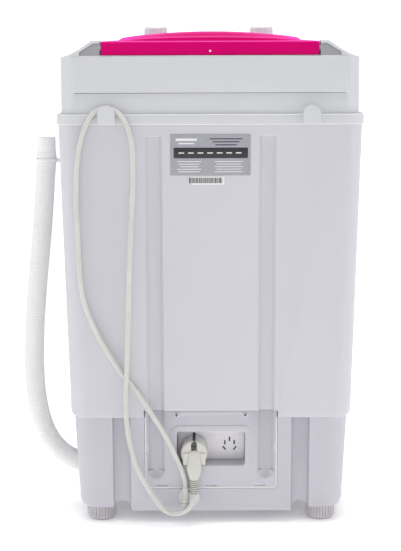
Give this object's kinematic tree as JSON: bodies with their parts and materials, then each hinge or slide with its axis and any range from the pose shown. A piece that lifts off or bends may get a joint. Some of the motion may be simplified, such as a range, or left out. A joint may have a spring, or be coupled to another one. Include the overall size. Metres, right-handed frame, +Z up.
{
  "type": "single-tub washing machine",
  "caption": "Upright single-tub washing machine with a spin basket, hinged pink lid, knobs, a rear plug park, mains lead on a hook and a side drain hose.",
  "frame": {"origin": "on the floor, under the middle of the casing", "axes": "+Z up, -Y to the front where the controls are, +Y to the rear with the mains lead, +X to the side with the drain hose"},
  "size_m": [0.5022, 0.4375, 0.7361],
  "materials": {
    "shell_white": "fine moulded satin",
    "base_white": "fine moulded satin",
    "cover_white": "fine moulded satin",
    "lid_pink": "translucent gloss",
    "cap_grey": "satin",
    "foot_grey": "matt",
    "label_grey": "printed film",
    "sticker_white": "printed paper",
    "cord_cream": "soft satin",
    "plug_white": "satin",
    "hose_white": "soft corrugated",
    "tub_white": "gloss",
    "knob_white": "gloss",
    "steel": "zinc plated",
    "bronze": "sintered",
    "black_rubber": "matt",
    "dark_plastic": "matt",
    "casting": "cast",
    "motor_grey": "enamel",
    "bracket_zinc": "zinc plated sheet",
    "capacitor_shell": "drawn can"
  },
  "bodies": {
    "cabinet": {"base": "base_white", "foot_front_left": "foot_grey", "foot_front_right": "foot_grey", "foot_rear_left": "foot_grey", "foot_rear_right": "foot_grey", "body_shell": "shell_white", "top_cover": "cover_white", "control_panel": "cover_white", "rear_access_panel": "base_white", "access_panel_screws": "steel", "parking_plate": "base_white", "rating_label": "label_grey", "barcode_sticker": "sticker_white", "cord_hook_left": "cover_white", "cord_hook_right": "cover_white", "hinge_cap_left": "cap_grey", "hinge_cap_right": "cap_grey", "hinge_pin_left": "steel", "hinge_pin_right": "steel", "wash_timer": "dark_plastic", "mode_switch": "dark_plastic", "wash_tub": "tub_white", "lint_filter": "tub_white", "shaft_seal": "black_rubber", "upper_bush": "bronze", "lower_bush": "bronze", "bearing_housing": "casting", "drive_belt": "black_rubber", "motor_housing": "motor_grey", "motor_bracket": "bracket_zinc", "motor_mounts": "black_rubber", "motor_bolts": "steel", "capacitor": "capacitor_shell", "drain_pipe": "tub_white", "drain_spigot": "tub_white", "drain_hose": "hose_white", "hose_cuff": "hose_white", "hose_clip": "hose_white", "cord_gland": "base_white", "cord_strain_relief": "cord_cream", "power_cord": "cord_cream", "plug_body": "plug_white", "plug_pins": "steel"},
    "lid": {"lid": "lid_pink"},
    "rotor": {"spin_basket": "tub_white", "pulsator": "tub_white", "pulsator_bolt": "steel", "drive_shaft": "steel", "driven_pulley": "casting"},
    "motor_rotor": {"motor_shaft": "steel", "motor_pulley": "casting"},
    "timer_control": {"wash_timer_knob": "knob_white", "wash_timer_shaft": "steel"},
    "mode_control": {"mode_knob": "knob_white", "mode_switch_shaft": "steel"}
  },
  "joints": [
    {"name": "lid_hinge", "type": "hinge", "parent": "cabinet", "child": "lid", "pos_m": [0, 0.198, 0.6985], "axis": [-1, 0, 0], "range_deg": [0, 95]},
    {"name": "rotor_spin", "type": "hinge", "parent": "cabinet", "child": "rotor", "pos_m": [0, 0.03, 0.23], "axis": [0, 0, 1], "continuous": true},
    {"name": "motor_spin", "type": "hinge", "parent": "cabinet", "child": "motor_rotor", "pos_m": [-0.11, 0.03, 0.1], "axis": [0, 0, 1], "continuous": true},
    {"name": "timer_turn", "type": "hinge", "parent": "cabinet", "child": "timer_control", "pos_m": [0.087, -0.135, 0.7], "axis": [0, 0, -1], "range_deg": [0, 270]},
    {"name": "mode_turn", "type": "hinge", "parent": "cabinet", "child": "mode_control", "pos_m": [-0.087, -0.135, 0.7], "axis": [0, 0, -1], "range_deg": [-45, 45]}
  ],
  "couplings": [
    {"joint": "motor_spin", "follows": "rotor_spin", "ratio": 3.1818}
  ]
}
